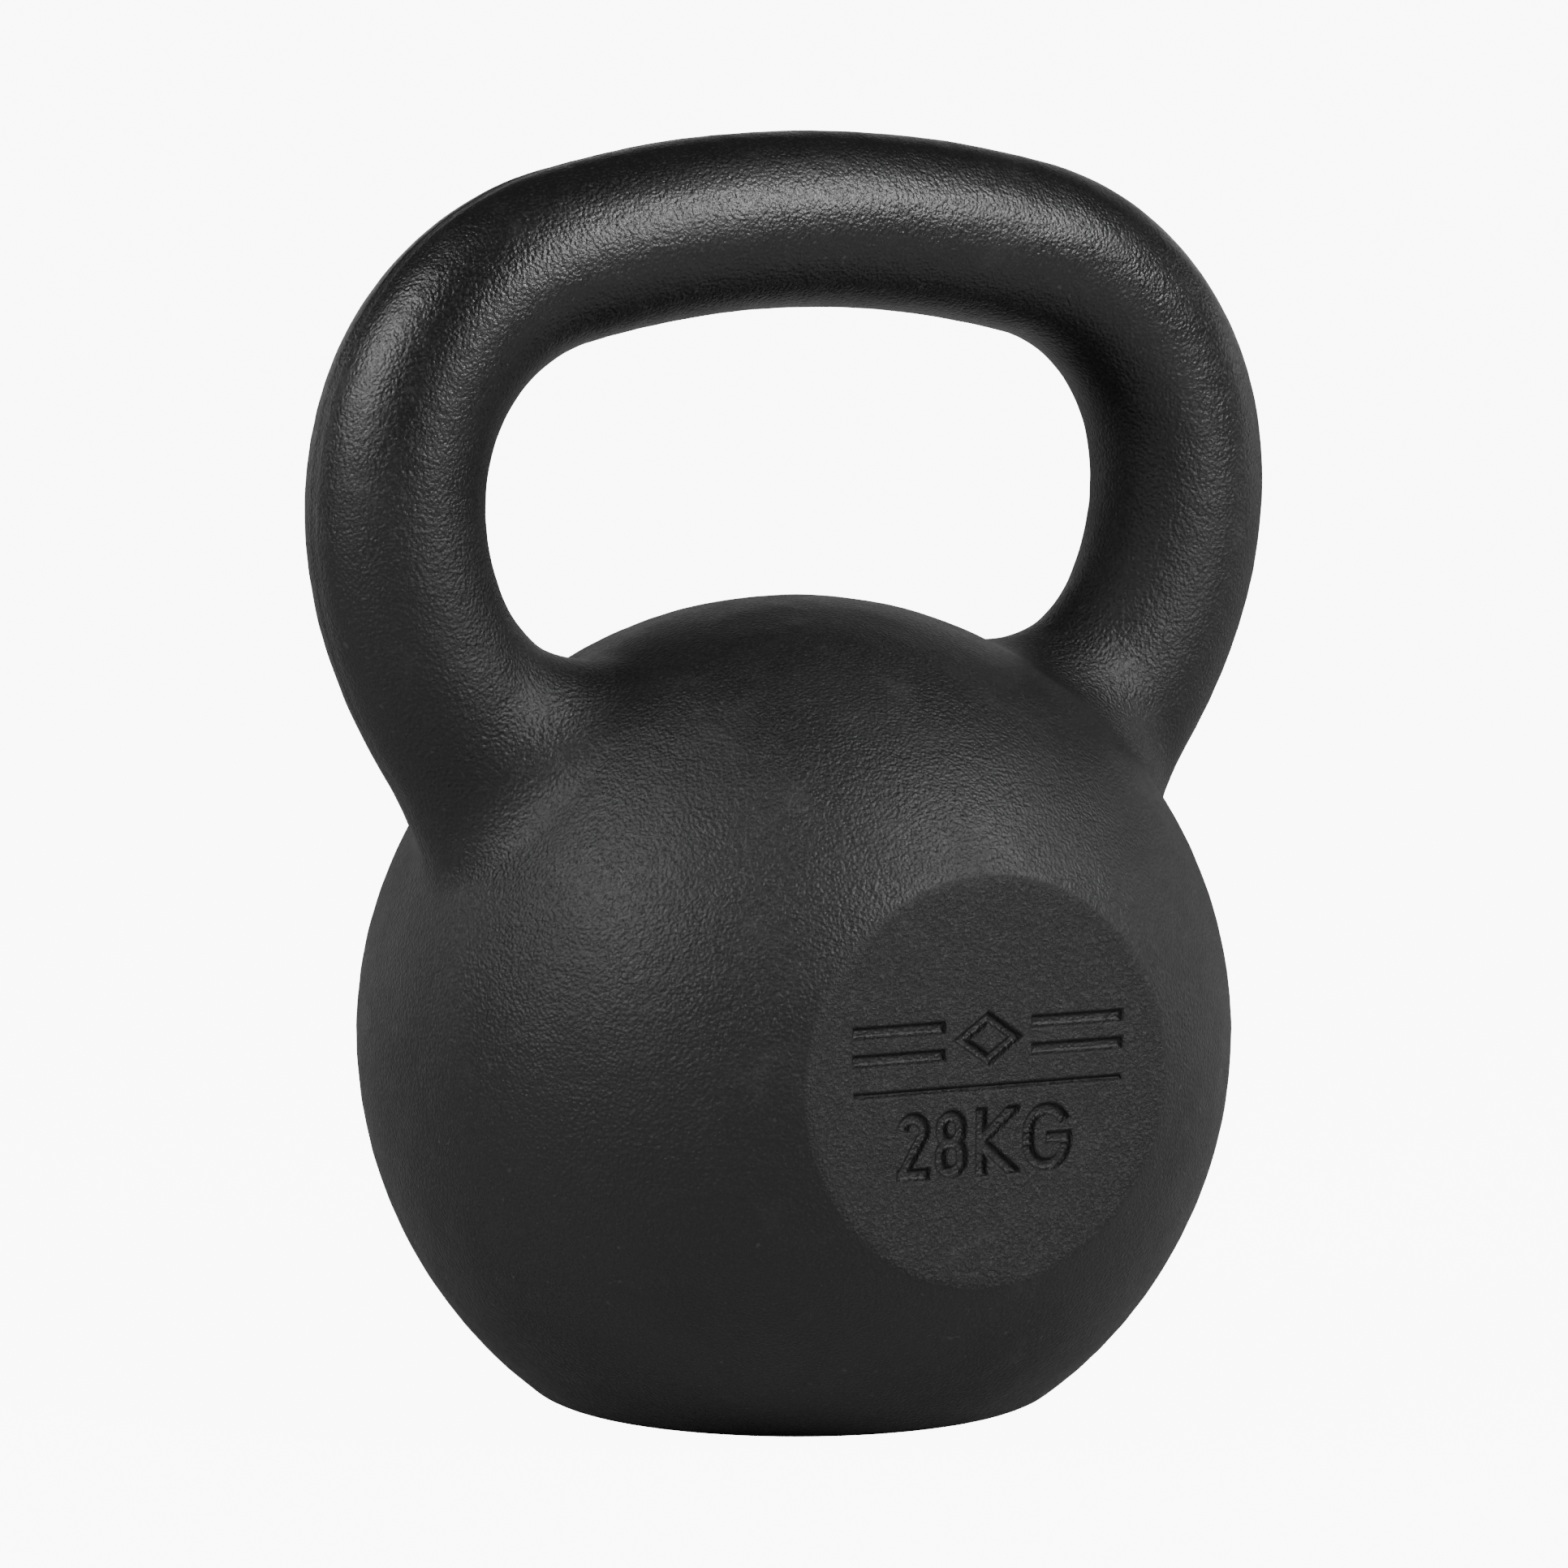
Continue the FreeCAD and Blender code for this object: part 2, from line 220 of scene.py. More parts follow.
ARCS, ROOT_START, ROOT_HEADING = centreline()
HORN_LENGTH = ARC_RADII[2] * math.radians(ARC_ANGLES[2])
FLARE_LENGTH = HORN_LENGTH + ROOT_LENGTH
ROOT_FORWARD = np.array([math.cos(ROOT_HEADING), -math.sin(ROOT_HEADING)])

# Where the pieces of the handle end, along the centreline from the top centre
CORNER_PLACE = ARC_RADII[0] * math.radians(ARC_ANGLES[0])
HORN_PLACE = CORNER_PLACE + ARC_RADII[1] * math.radians(ARC_ANGLES[1])
SPLIT_PLACE = HORN_PLACE + ARC_RADII[2] * math.radians(HORN_SPLIT_ANGLE)


def locate(x, z):
    """Nearest place on the centreline of points with x >= 0.

    Returns the offset outwards, and how far along the flare's length the place lies, 0 to 1."""
    nearest = np.full(len(x), FAR)
    offset = np.full(len(x), FAR)
    share = np.zeros(len(x))
    for pivot, radius, first, last in ARCS:
        heading = np.arctan2(x - pivot[0], z - pivot[1])
        across = np.hypot(x - pivot[0], z - pivot[1]) - radius
        here = (heading >= first - TINY) & (heading <= last) & (abs(across) < nearest)
        nearest = np.where(here, abs(across), nearest)
        offset = np.where(here, across, offset)
        in_horn = here & (first == ARCS[2][2])
        share = np.where(in_horn, (heading - first) * radius / FLARE_LENGTH, np.where(here, 0, share))
    run = (x - ROOT_START[0]) * ROOT_FORWARD[0] + (z - ROOT_START[1]) * ROOT_FORWARD[1]
    side = outward(ROOT_HEADING)
    across = (x - ROOT_START[0]) * side[0] + (z - ROOT_START[1]) * side[1]
    here = (run > 0) & (run < ROOT_LENGTH) & (abs(across) < nearest)
    offset = np.where(here, across, offset)
    return offset, np.where(here, (HORN_LENGTH + run) / FLARE_LENGTH, share)


def bar_section(share):
    """Middle offset, half width and half depth of the bar's elliptical section."""
    outer = GRIP_RADIUS + OUTER_FLARE * share ** OUTER_FLARE_POWER
    inner = GRIP_RADIUS + INNER_FLARE * share ** INNER_FLARE_POWER
    side = GRIP_RADIUS + SIDE_FLARE * share ** INNER_FLARE_POWER
    return (outer - inner) / 2, (outer + inner) / 2, side


# ---------------------------------------------------------------- the smooth surface

def bar_level(p):
    """Rough distance to the bar, and 0 on the bar's outer side to 1 on its inner side."""
    offset, share = locate(abs(p[:, 0]), p[:, 2])
    middle, half_width, half_depth = bar_section(share)
    u, v = (offset - middle) / half_width, p[:, 1] / half_depth
    size = np.maximum(np.hypot(u, v), SMALL)
    steep = np.hypot(u / half_width, v / half_depth) / size
    return (size - 1) / steep, (1 - u / size) / 2


def slope(level, p, step):
    """Gradient of a function of points, by central differences."""
    gradient = np.empty_like(p)
    for axis in range(3):
        shift = np.zeros(3)
        shift[axis] = step
        gradient[:, axis] = (level(p + shift) - level(p - shift)) / (2 * step)
    return gradient


def bar_distance(p):
    """Distance to the bar, its unit gradient, and 0 on the outer side to 1 on the inner side."""
    rough, inner_side = bar_level(p)
    gradient = slope(lambda q: bar_level(q)[0], p, BAR_STEP)
    steep = np.maximum(np.linalg.norm(gradient, axis=1), SMALL)
    distance = np.where(steep < JUMP_SLOPE, rough / steep, FAR)
    return distance, gradient / steep[:, None], inner_side


def ball_distance(p):
    """Distance to the ball with its belly, rounded foot edge and flat foot, and its gradient."""
    reach = np.hypot(p[:, 0], p[:, 1])
    radial = p[:, :2] / np.maximum(reach, TINY)[:, None]
    belly = (BALL_RADIUS - BELLY_RADIUS) * np.array([math.cos(BELLY_START), math.sin(BELLY_START)])
    belly[1] += BALL_Z
    rise = belly[1] - FOOT_EDGE_RADIUS
    edge_r = belly[0] + math.sqrt((BELLY_RADIUS - FOOT_EDGE_RADIUS) ** 2 - rise ** 2)
    belly_end = -math.atan2(rise, edge_r - belly[0])
    centre_r = np.zeros_like(reach)
    centre_z = np.full_like(reach, BALL_Z)
    radius = np.full_like(reach, BALL_RADIUS)
    angle = np.arctan2(p[:, 2] - BALL_Z, reach)
    below = angle < BELLY_START
    centre_r = np.where(below, belly[0], centre_r)
    centre_z = np.where(below, belly[1], centre_z)
    radius = np.where(below, BELLY_RADIUS, radius)
    edge = np.arctan2(p[:, 2] - FOOT_EDGE_RADIUS, reach - edge_r)
    at_edge = (edge < belly_end) & (edge > -math.pi / 2)
    centre_r = np.where(at_edge, edge_r, centre_r)
    centre_z = np.where(at_edge, FOOT_EDGE_RADIUS, centre_z)
    radius = np.where(at_edge, FOOT_EDGE_RADIUS, radius)
    dr, dz = reach - centre_r, p[:, 2] - centre_z
    length = np.maximum(np.hypot(dr, dz), TINY)
    distance = length - radius
    gr, gz = dr / length, dz / length
    flat = (reach <= edge_r) & (p[:, 2] < FOOT_EDGE_RADIUS)
    distance = np.where(flat, -p[:, 2], distance)
    gr, gz = np.where(flat, 0.0, gr), np.where(flat, -1.0, gz)
    return distance, np.concatenate([radial * gr[:, None], gz[:, None]], 1)


def rolled(u, v, cosine):
    """Distance from a rolling ball's centre, and where the ball lies between both surfaces."""
    wide = np.maximum(1 - cosine ** 2, SMALL)
    squared = np.maximum(u ** 2 + v ** 2 - 2 * cosine * u * v, 0) / wide
    return np.sqrt(squared), (u > cosine * v) & (v > cosine * u)


RNG = np.random.default_rng(WAVE_SEED)
WAVES = [
    (RNG.normal(size=3) * 2 * math.pi / wavelength, RNG.uniform(0, 2 * math.pi))
    for wavelength in np.repeat(UNEVEN_WAVELENGTHS, WAVES_OF_EACH)
]


def sinking(p):
    """How far the cast surface lies below the ideal one: gentle waves, none on the flats."""
    waves = sum(np.sin(p @ vector + phase) for vector, phase in WAVES) / len(WAVES) ** 0.5
    depth = UNEVENNESS * np.clip(MEAN_SHARE + SHARE_SPREAD * waves, 0, 1)
    off_facet = np.clip((p[:, 1] + FACET_DISTANCE) / FACET_FADE, 0, 1)
    off_floor = np.clip(p[:, 2] / FLOOR_FADE, 0, 1)
    return depth * off_facet * off_floor


def seam(p):
    """Depth of the ground parting band on the outer side of the handle."""
    offset, _ = locate(abs(p[:, 0]), p[:, 2])
    band = np.clip((SEAM_HALF_WIDTH - abs(p[:, 1])) / SEAM_EDGE + 0.5, 0, 1)
    run_out = np.clip((p[:, 2] - SEAM_END_Z) / SEAM_RUN_OUT, 0, 1)
    return SEAM_DEPTH * band * run_out * (offset > 0) * (offset < SEAM_REACH)


def ideal(p):
    """Signed distance to the ideal surface, in millimetres; negative inside the iron."""
    bar, bar_gradient, inner_side = bar_distance(p)
    ball, ball_gradient = ball_distance(p)
    fillet = OUTER_FILLET + (INNER_FILLET - OUTER_FILLET) * inner_side
    cosine = (bar_gradient * ball_gradient).sum(1)
    length, between = rolled(fillet - bar, fillet - ball, cosine)
    in_valley = between & (bar < VALLEY_REACH * fillet) & (ball < VALLEY_REACH * fillet)
    union = np.where(in_valley, fillet - length, np.minimum(bar, ball))
    plane = -FACET_DISTANCE - p[:, 1]
    rim = FACET_EDGE_RADIUS
    length, between = rolled(ball + rim, plane + rim, -ball_gradient[:, 1])
    front = np.where(between, length - rim, np.maximum(union, plane))
    near_facet = (plane > -2 * rim) & (ball > -2 * rim)
    return np.where(near_facet, front, union)


def surface(p):
    """Signed distance to the finished surface, with the traces of casting and grinding."""
    return ideal(p) + sinking(p) + seam(p)


def normals(p):
    """Unit normals of the surface near points."""
    gradient = slope(surface, p, SURFACE_STEP)
    return gradient / np.maximum(np.linalg.norm(gradient, axis=1), TINY)[:, None]


def pulled(p, rounds=PULL_ROUNDS):
    """Points moved onto the surface."""
    for _ in range(rounds):
        p = p - normals(p) * surface(p)[:, None]
    return p


# ---------------------------------------------------------------- engraving
# Each in_ function returns how far inside a groove a place on the facet lies, negative outside.

def in_stroke(x, z, start, end):
    """Straight stroke with round ends."""
    a, b = np.array(start), np.array(end)
    run = b - a
    t = np.clip(((x - a[0]) * run[0] + (z - a[1]) * run[1]) / (run @ run), 0, 1)
    return STROKE / 2 - np.hypot(x - a[0] - t * run[0], z - a[1] - t * run[1])


def in_box(x, z, left, right, low, high):
    """Upright rectangle between four limits."""
    return np.minimum.reduce([x - left, right - x, z - low, high - z])


def in_bow(x, z, centre, radius, start, end):
    """Circular stroke that runs anticlockwise between two angles in degrees, cut square."""
    turn = (np.degrees(np.arctan2(z - centre[1], x - centre[0])) - start) % 360
    span = end - start
    within = np.where(turn <= span, np.minimum(turn, span - turn), -np.minimum(turn - span, 360 - turn))
    across = STROKE / 2 - abs(np.hypot(x - centre[0], z - centre[1]) - radius)
    return np.minimum(across, np.radians(within) * radius)


def in_round_loop(x, z, middle, low, high, radius):
    """Tall loop with half-round ends."""
    beyond = z - np.clip(z, low, high)
    return STROKE / 2 - abs(np.hypot(x - middle, beyond) - radius)


def in_figure_2(x, z):
    """A bow, a slant to the foot and a level foot."""
    radius = DIGIT_WIDTH / 2
    centre = (DIGIT_2_X + radius, FIGURE_HIGH - radius)
    turn = math.radians(DIGIT_2_TAIL)
    leave = (centre[0] + radius * math.cos(turn), centre[1] + radius * math.sin(turn))
    left, right = DIGIT_2_X - STROKE / 2, DIGIT_2_X + DIGIT_WIDTH + STROKE / 2
    low = FIGURE_LOW - STROKE / 2
    slant = in_stroke(x, z, leave, (DIGIT_2_X, FIGURE_LOW))
    slant = np.minimum(slant, in_box(x, z, left, right, low, FIGURE_HIGH))
    foot = in_box(x, z, left, right, low, low + STROKE)
    bow = in_bow(x, z, centre, radius, DIGIT_2_TAIL, DIGIT_2_TIP)
    return np.maximum.reduce([bow, slant, foot])


def in_figure_8(x, z):
    """Two loops, the upper one a little smaller."""
    middle = DIGIT_8_X + DIGIT_WIDTH / 2
    waist = FIGURE_LOW + DIGIT_8_WAIST * (FIGURE_HIGH - FIGURE_LOW)
    lower = DIGIT_WIDTH / 2
    upper = lower - DIGIT_8_UPPER_CUT
    return np.maximum(
        in_round_loop(x, z, middle, FIGURE_LOW + lower, waist - lower, lower),
        in_round_loop(x, z, middle, waist + upper, FIGURE_HIGH - upper, upper),
    )


def in_letter_k(x, z):
    """An upright and two arms from its middle."""
    left, right = LETTER_K_X, LETTER_K_X + LETTER_K_WIDTH
    waist, half = (FIGURE_LOW + FIGURE_HIGH) / 2, (FIGURE_HIGH - FIGURE_LOW) / 2
    low, high = FIGURE_LOW - STROKE / 2, FIGURE_HIGH + STROKE / 2
    across, up = (right - left) * LETTER_K_OVERRUN, half * LETTER_K_OVERRUN
    arms = [in_stroke(x, z, (left, waist), (left + across, waist + way * up)) for way in (1, -1)]
    arms = np.minimum(np.maximum(*arms), in_box(x, z, left, right + STROKE, low, high))
    return np.maximum(arms, in_box(x, z, left - STROKE / 2, left + STROKE / 2, low, high))


def in_letter_g(x, z):
    """Two bows, the left side, and an inner bar that turns up at the right."""
    radius = LETTER_G_WIDTH / 2
    middle, right = LETTER_G_X + radius, LETTER_G_X + 2 * radius
    low, high = FIGURE_LOW + radius, FIGURE_HIGH - radius
    half = STROKE / 2
    return np.maximum.reduce([
        in_bow(x, z, (middle, high), radius, LETTER_G_MOUTH, 180),
        in_box(x, z, LETTER_G_X - half, LETTER_G_X + half, low, high),
        in_bow(x, z, (middle, low), radius, 180, 360),
        in_box(x, z, right - half, right + half, low, low + STROKE),
        in_box(x, z, middle, right + half, low, low + STROKE),
    ])


def in_lozenge_ring(x, z):
    """Outline of a lozenge on the facet's middle line."""
    a, b = LOZENGE_HALF_WIDTH, LOZENGE_HALF_HEIGHT
    inner_share = 1 - STROKE / b
    level = abs(x) / a + abs(z - MOTIF_Z) / b
    return np.minimum(1 - level, level - inner_share) * a * b / math.hypot(a, b)


def worn_in(inside):
    """Share of a groove's depth; its walls slope and its edges are rounded by the coat."""
    t = np.clip((inside + WALL / 2) / WALL, 0, 1)
    return t * t * (3 - 2 * t)


def engraved(x, z):
    """Depth of the engraving below the facet."""
    strokes = [in_figure_2(x, z), in_figure_8(x, z), in_letter_k(x, z), in_letter_g(x, z)]
    for way in (-1, 1):
        low = MOTIF_Z + way * BAR_RISE - STROKE / 2
        strokes.append(in_box(abs(x), z, BAR_INNER_X, BAR_OUTER_X, low, low + STROKE))
    strokes.append(in_lozenge_ring(x, z))
    half = RULE_WIDTH / 2
    rule = in_box(x, z, -RULE_HALF_LENGTH, RULE_HALF_LENGTH, RULE_Z - half, RULE_Z + half)
    deep = ENGRAVING_DEPTH * worn_in(np.maximum.reduce(strokes))
    return np.maximum(deep, RULE_DEPTH * worn_in(rule))


# ---------------------------------------------------------------- meshes

def new_object(name, data):
    """Object in the scene for a mesh, lamp or camera."""
    thing = bpy.data.objects.new(name, data)
    bpy.context.scene.collection.objects.link(thing)
    return thing


def vertex_array(mesh):
    """Vertex positions in millimetres."""
    flat = np.empty(len(mesh.vertices) * 3)
    mesh.vertices.foreach_get("co", flat)
    return flat.reshape(-1, 3) / MM


def relaxed(p, edges):
    """Points moved halfway to the middle of their neighbours."""
    total, count = np.zeros_like(p), np.zeros(len(p))
    for a, b in (edges.T, edges.T[::-1]):
        np.add.at(total, a, p[b])
        np.add.at(count, a, 1)
    return (p + total / np.maximum(count, 1)[:, None]) / 2


def shade(piece, bent_normals):
    """Smooth shading with exact normals; a face whose corners need its own normal is left flat.

    bent_normals maps vertex positions in millimetres to unit normals."""
    mesh = piece.data
    smooth = bent_normals(vertex_array(mesh))
    loops = np.empty(len(mesh.loops), dtype=np.int32)
    mesh.loops.foreach_get("vertex_index", loops)
    corner_normals = smooth[loops]
    for face in mesh.polygons:
        face.use_smooth = True
        if len(face.vertices) > MOST_CORNERS:
            corner_normals[list(face.loop_indices)] = face.normal
    mesh.normals_split_custom_set(corner_normals)
    return piece


def station(place):
    """Centreline point, heading and flare share at a place in millimetres from the top centre."""
    left = place
    for pivot, radius, first, last in ARCS:
        length = radius * (last - first)
        if left <= length:
            heading = first + left / radius
            share = left / FLARE_LENGTH if first == ARCS[2][2] else 0.0
            return pivot + outward(heading) * radius, heading, share
        left -= length
    return ROOT_START + ROOT_FORWARD * left, ROOT_HEADING, (HORN_LENGTH + left) / FLARE_LENGTH


def ring(place, side):
    """Points around the bar at a place, denser at the outer side, on the right (1) or left (-1)."""
    point, heading, share = station(place)
    middle, half_width, half_depth = bar_section(share)
    turn = np.linspace(0, 2 * math.pi, RING_POINTS, endpoint=False)
    turn = turn - SEAM_CROWDING * np.sin(turn)
    away = outward(heading)
    reach = middle + half_width * np.cos(turn)
    x = point[0] + away[0] * reach
    z = point[1] + away[1] * reach
    return np.stack([x * side, half_depth * np.sin(turn), z], 1)


def bar_piece(name, places):
    """Closed length of the bar; places are millimetres from the top centre, left ones negative."""
    rings = [ring(abs(s), -1 if s < 0 else 1) for s in places]
    p = np.concatenate(rings)
    p = pulled(p)
    for place, end in ((places[0], slice(0, RING_POINTS)), (places[-1], slice(-RING_POINTS, None))):
        p[end] = on_section(p[end], place)
    count = len(places)
    faces = []
    for i in range(count - 1):
        for j in range(RING_POINTS):
            k = (j + 1) % RING_POINTS
            a, b = i * RING_POINTS, (i + 1) * RING_POINTS
            faces.append((a + j, b + j, b + k, a + k))
    faces.append(tuple(range(RING_POINTS)))
    faces.append(tuple(reversed(range(len(p) - RING_POINTS, len(p)))))
    mesh = bpy.data.meshes.new(name)
    mesh.from_pydata((p * MM).tolist(), [], faces)
    fix_winding(mesh)
    return shade(new_object(name, mesh), normals)


def section_frame(place):
    """Point and unit tangent of the centreline, in three dimensions."""
    point, heading, _ = station(abs(place))
    side = -1 if place < 0 else 1
    tangent = np.array([side * math.cos(heading), 0.0, -math.sin(heading)])
    return np.array([side * point[0], 0.0, point[1]]), tangent


def on_section(p, place):
    """Points put back in the plane across the centreline at a place."""
    point, tangent = section_frame(place)
    return p - ((p - point) @ tangent)[:, None] * tangent


def fix_winding(mesh):
    """Make all faces look outwards."""
    shape = bmesh.new()
    shape.from_mesh(mesh)
    bmesh.ops.recalc_face_normals(shape, faces=shape.faces)
    shape.to_mesh(mesh)
    shape.free()


def stub(place, side):
    """Mesh of a short straight bar through the split plane, for the bell to be remeshed with."""
    point, tangent = section_frame(place * side)
    shape = bmesh.new()
    turn = Vector(tangent).to_track_quat("Z", "Y").to_matrix().to_4x4()
    bmesh.ops.create_cone(
        shape, cap_ends=True, segments=STUB_SIDES, radius1=GRIP_RADIUS * MM,
        radius2=GRIP_RADIUS * MM, depth=2 * STUB_REACH * MM, matrix=turn,
    )
    bmesh.ops.translate(shape, verts=shape.verts, vec=Vector(point * MM))
    mesh = bpy.data.meshes.new("stub")
    shape.to_mesh(mesh)
    shape.free()
    return mesh


def even_skin():
    """The bell and stubs of both horns as one evenly meshed skin, pulled onto the surface."""
    shape = bmesh.new()
    shape.from_mesh(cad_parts["bell"].data)
    for side in (1, -1):
        shape.from_mesh(stub(SPLIT_PLACE, side))
    mesh = bpy.data.meshes.new("skin")
    shape.to_mesh(mesh)
    shape.free()
    piece = new_object("bell_coated", mesh)
    remesh = piece.modifiers.new("even", "REMESH")
    remesh.mode = "VOXEL"
    remesh.voxel_size = BELL_VOXEL * MM
    depsgraph = bpy.context.evaluated_depsgraph_get()
    even = bpy.data.meshes.new_from_object(piece.evaluated_get(depsgraph))
    piece.modifiers.clear()
    piece.data = even
    edges = np.empty(len(even.edges) * 2, dtype=np.int32)
    even.edges.foreach_get("vertices", edges)
    p = vertex_array(even)
    for _ in range(RELAX_ROUNDS):
        p = pulled(relaxed(p, edges.reshape(-1, 2)), 1)
    p = pulled(p)
    even.vertices.foreach_set("co", (p * MM).ravel())
    even.update()
    return piece


def close_at_split(shape, side):
    """Cut the skin at a horn's split plane and close it."""
    point, tangent = section_frame(SPLIT_PLACE * side)
    beyond = [v for v in shape.verts if v.co.x * side > 0 and v.co.z > BALL_Z * MM]
    faces = {f for v in beyond for f in v.link_faces}
    edges = {e for f in faces for e in f.edges}
    cut = bmesh.ops.bisect_plane(
        shape, geom=list(beyond) + list(edges) + list(faces), plane_co=point * MM,
        plane_no=tangent, clear_inner=True,
    )
    rim = [e for e in cut["geom_cut"] if isinstance(e, bmesh.types.BMEdge)]
    bmesh.ops.edgeloop_fill(shape, edges=rim)


def engrave_facet(shape):
    """Replace a rectangle of the flat with a fine relief of the engraving."""
    flat_limit = (FLAT_REACH - FACET_DISTANCE) * MM
    half_x, low, high = RELIEF_HALF_WIDTH, BALL_Z + RELIEF_LOW, BALL_Z + RELIEF_HIGH
    margin = BELL_VOXEL / 2

    def covered(v):
        x, z = v.co.x / MM, v.co.z / MM
        in_x = abs(x) < half_x + margin
        return v.co.y < flat_limit and in_x and low - margin < z < high + margin

    inner = [v for v in shape.verts if covered(v)]
    bmesh.ops.delete(shape, geom=inner, context="VERTS")
    hole = [e for e in shape.edges if e.is_boundary and e.verts[0].co.y < flat_limit]
    columns = round(2 * half_x / FACET_CELL) + 1
    rows = round((high - low) / FACET_CELL) + 1
    x, z = np.meshgrid(np.linspace(-half_x, half_x, columns), np.linspace(low, high, rows))
    y = -FACET_DISTANCE + engraved(x, z - BALL_Z)
    points = np.stack([x, y, z], 2) * MM
    grid = [[shape.verts.new(points[j, i]) for i in range(columns)] for j in range(rows)]
    for j in range(rows - 1):
        for i in range(columns - 1):
            shape.faces.new((grid[j][i], grid[j][i + 1], grid[j + 1][i + 1], grid[j + 1][i]))
    border = set(grid[0]) | set(grid[-1]) | {row[0] for row in grid} | {row[-1] for row in grid}
    frame_edges = {e for v in border for e in v.link_edges if e.is_boundary}
    bmesh.ops.triangle_fill(shape, use_beauty=True, edges=hole + list(frame_edges), normal=(0, -1, 0))


def bell_normals(p):
    """Normals of the bell, with those of the relief on the flat."""
    result = normals(p)
    x, z = p[:, 0], p[:, 2] - BALL_Z
    step = FACET_CELL / 2
    relief = p[:, 1] < -FACET_DISTANCE + ENGRAVING_DEPTH + RELIEF_SLACK
    relief &= (abs(x) <= RELIEF_HALF_WIDTH) & (z >= RELIEF_LOW) & (z <= RELIEF_HIGH)
    dx = (engraved(x + step, z) - engraved(x - step, z)) / (2 * step)
    dz = (engraved(x, z + step) - engraved(x, z - step)) / (2 * step)
    flat = np.stack([dx, -np.ones(len(p)), dz], 1)
    flat /= np.linalg.norm(flat, axis=1)[:, None]
    return np.where(relief[:, None], flat, result)


def bell_piece():
    """The ball with its foot, roots and engraved facet."""
    piece = even_skin()
    shape = bmesh.new()
    shape.from_mesh(piece.data)
    for side in (1, -1):
        close_at_split(shape, side)
    engrave_facet(shape)
    bmesh.ops.recalc_face_normals(shape, faces=shape.faces)
    shape.to_mesh(piece.data)
    shape.free()
    return shade(piece, bell_normals)


def places_between(start, end):
    """Evenly spaced places along the centreline, both ends included."""
    count = max(round(abs(end - start) / RING_STEP), 2)
    return np.linspace(start, end, count + 1)


pieces = {"bell": bell_piece()}
for name, start, end in (
    ("left_horn", -SPLIT_PLACE, -HORN_PLACE),
    ("left_corner", -HORN_PLACE, -CORNER_PLACE),
    ("grip", -CORNER_PLACE, CORNER_PLACE),
    ("right_corner", CORNER_PLACE, HORN_PLACE),
    ("right_horn", HORN_PLACE, SPLIT_PLACE),
):
    pieces[name] = bar_piece(name + "_coated", places_between(start, end))


# ---------------------------------------------------------------- material

class Nodes:
    """Short ways to add and link the nodes of a material."""

    def __init__(self, name):
        self.material = bpy.data.materials.new(name)
        self.material.use_nodes = True
        self.tree = self.material.node_tree
        self.shader = self.tree.nodes["Principled BSDF"]

    def add(self, kind, **values):
        node = self.tree.nodes.new("ShaderNode" + kind)
        for key, value in values.items():
            setattr(node, key, value)
        return node

    def link(self, source, target):
        self.tree.links.new(source, target)

    def noise(self, place, size, detail=2.0, roughness=0.5):
        """Noise whose features are about size millimetres wide."""
        node = self.add("TexNoise")
        node.inputs["Scale"].default_value = 1 / (size * MM)
        node.inputs["Detail"].default_value = detail
        node.inputs["Roughness"].default_value = roughness
        self.link(place, node.inputs["Vector"])
        return node.outputs["Fac"]

    def blisters(self, place, size):
        """Rounded cells about size millimetres wide, 0 in their middles."""
        node = self.add("TexVoronoi", feature="SMOOTH_F1")
        node.inputs["Scale"].default_value = 1 / (size * MM)
        node.inputs["Smoothness"].default_value = BLISTER_SMOOTHNESS
        self.link(place, node.inputs["Vector"])
        return node.outputs["Distance"]

    def ramp(self, value, low, high, to_low=0.0, to_high=1.0):
        """Value mapped smoothly from low..high to to_low..to_high."""
        node = self.add("MapRange", interpolation_type="SMOOTHSTEP")
        node.inputs["From Min"].default_value = low
        node.inputs["From Max"].default_value = high
        node.inputs["To Min"].default_value = to_low
        node.inputs["To Max"].default_value = to_high
        self.link(value, node.inputs["Value"])
        return node.outputs["Result"]

    def set_or_link(self, value, socket):
        """Give a socket a number, or link another socket to it."""
        if isinstance(value, (int, float)):
            socket.default_value = value
        else:
            self.link(value, socket)

    def maths(self, operation, *values):
        node = self.add("Math", operation=operation)
        for socket, value in zip(node.inputs, values):
            self.set_or_link(value, socket)
        return node.outputs["Value"]

    def blend(self, share, first, second):
        """Between two values or sockets."""
        node = self.add("Mix", data_type="FLOAT")
        self.link(share, node.inputs["Factor"])
        self.set_or_link(first, node.inputs["A"])
        self.set_or_link(second, node.inputs["B"])
        return node.outputs["Result"]


